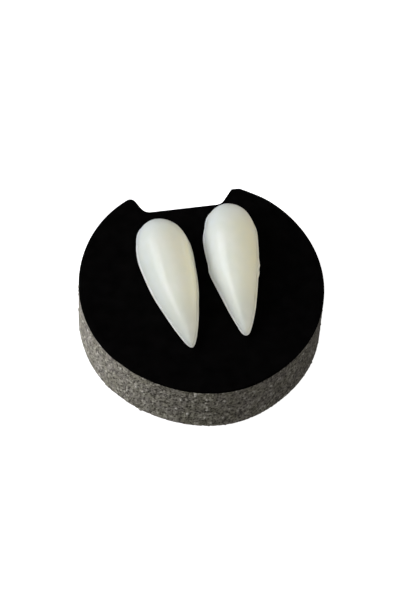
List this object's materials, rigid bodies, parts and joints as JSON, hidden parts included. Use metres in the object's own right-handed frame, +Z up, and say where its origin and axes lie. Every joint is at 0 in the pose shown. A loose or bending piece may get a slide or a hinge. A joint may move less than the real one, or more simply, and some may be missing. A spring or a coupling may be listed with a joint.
{
  "type": "vampire fang denture pair on foam disc",
  "caption": "Clip-on vampire fang tooth caps, hollow tapered shells with rounded gum ends and solid tips, lying on a notched round foam holder with a black flocked face.",
  "frame": {"origin": "centre of the foam disc's circle on its underside, where the part rests", "axes": "+Z up through the disc, +Y towards the notch in the disc, +X to the right when looking towards the notch"},
  "size_m": [0.031, 0.0293, 0.0129],
  "materials": {
    "foam": "open-cell grey foam with fine light and dark cells",
    "flocking": "deep black short-pile flocked face",
    "resin": "glossy, slightly translucent tooth-coloured resin"
  },
  "bodies": {
    "root": {"foam_disc": "foam", "flocked_face": "flocking", "left_fang": "resin", "right_fang": "resin"}
  },
  "joints": []
}
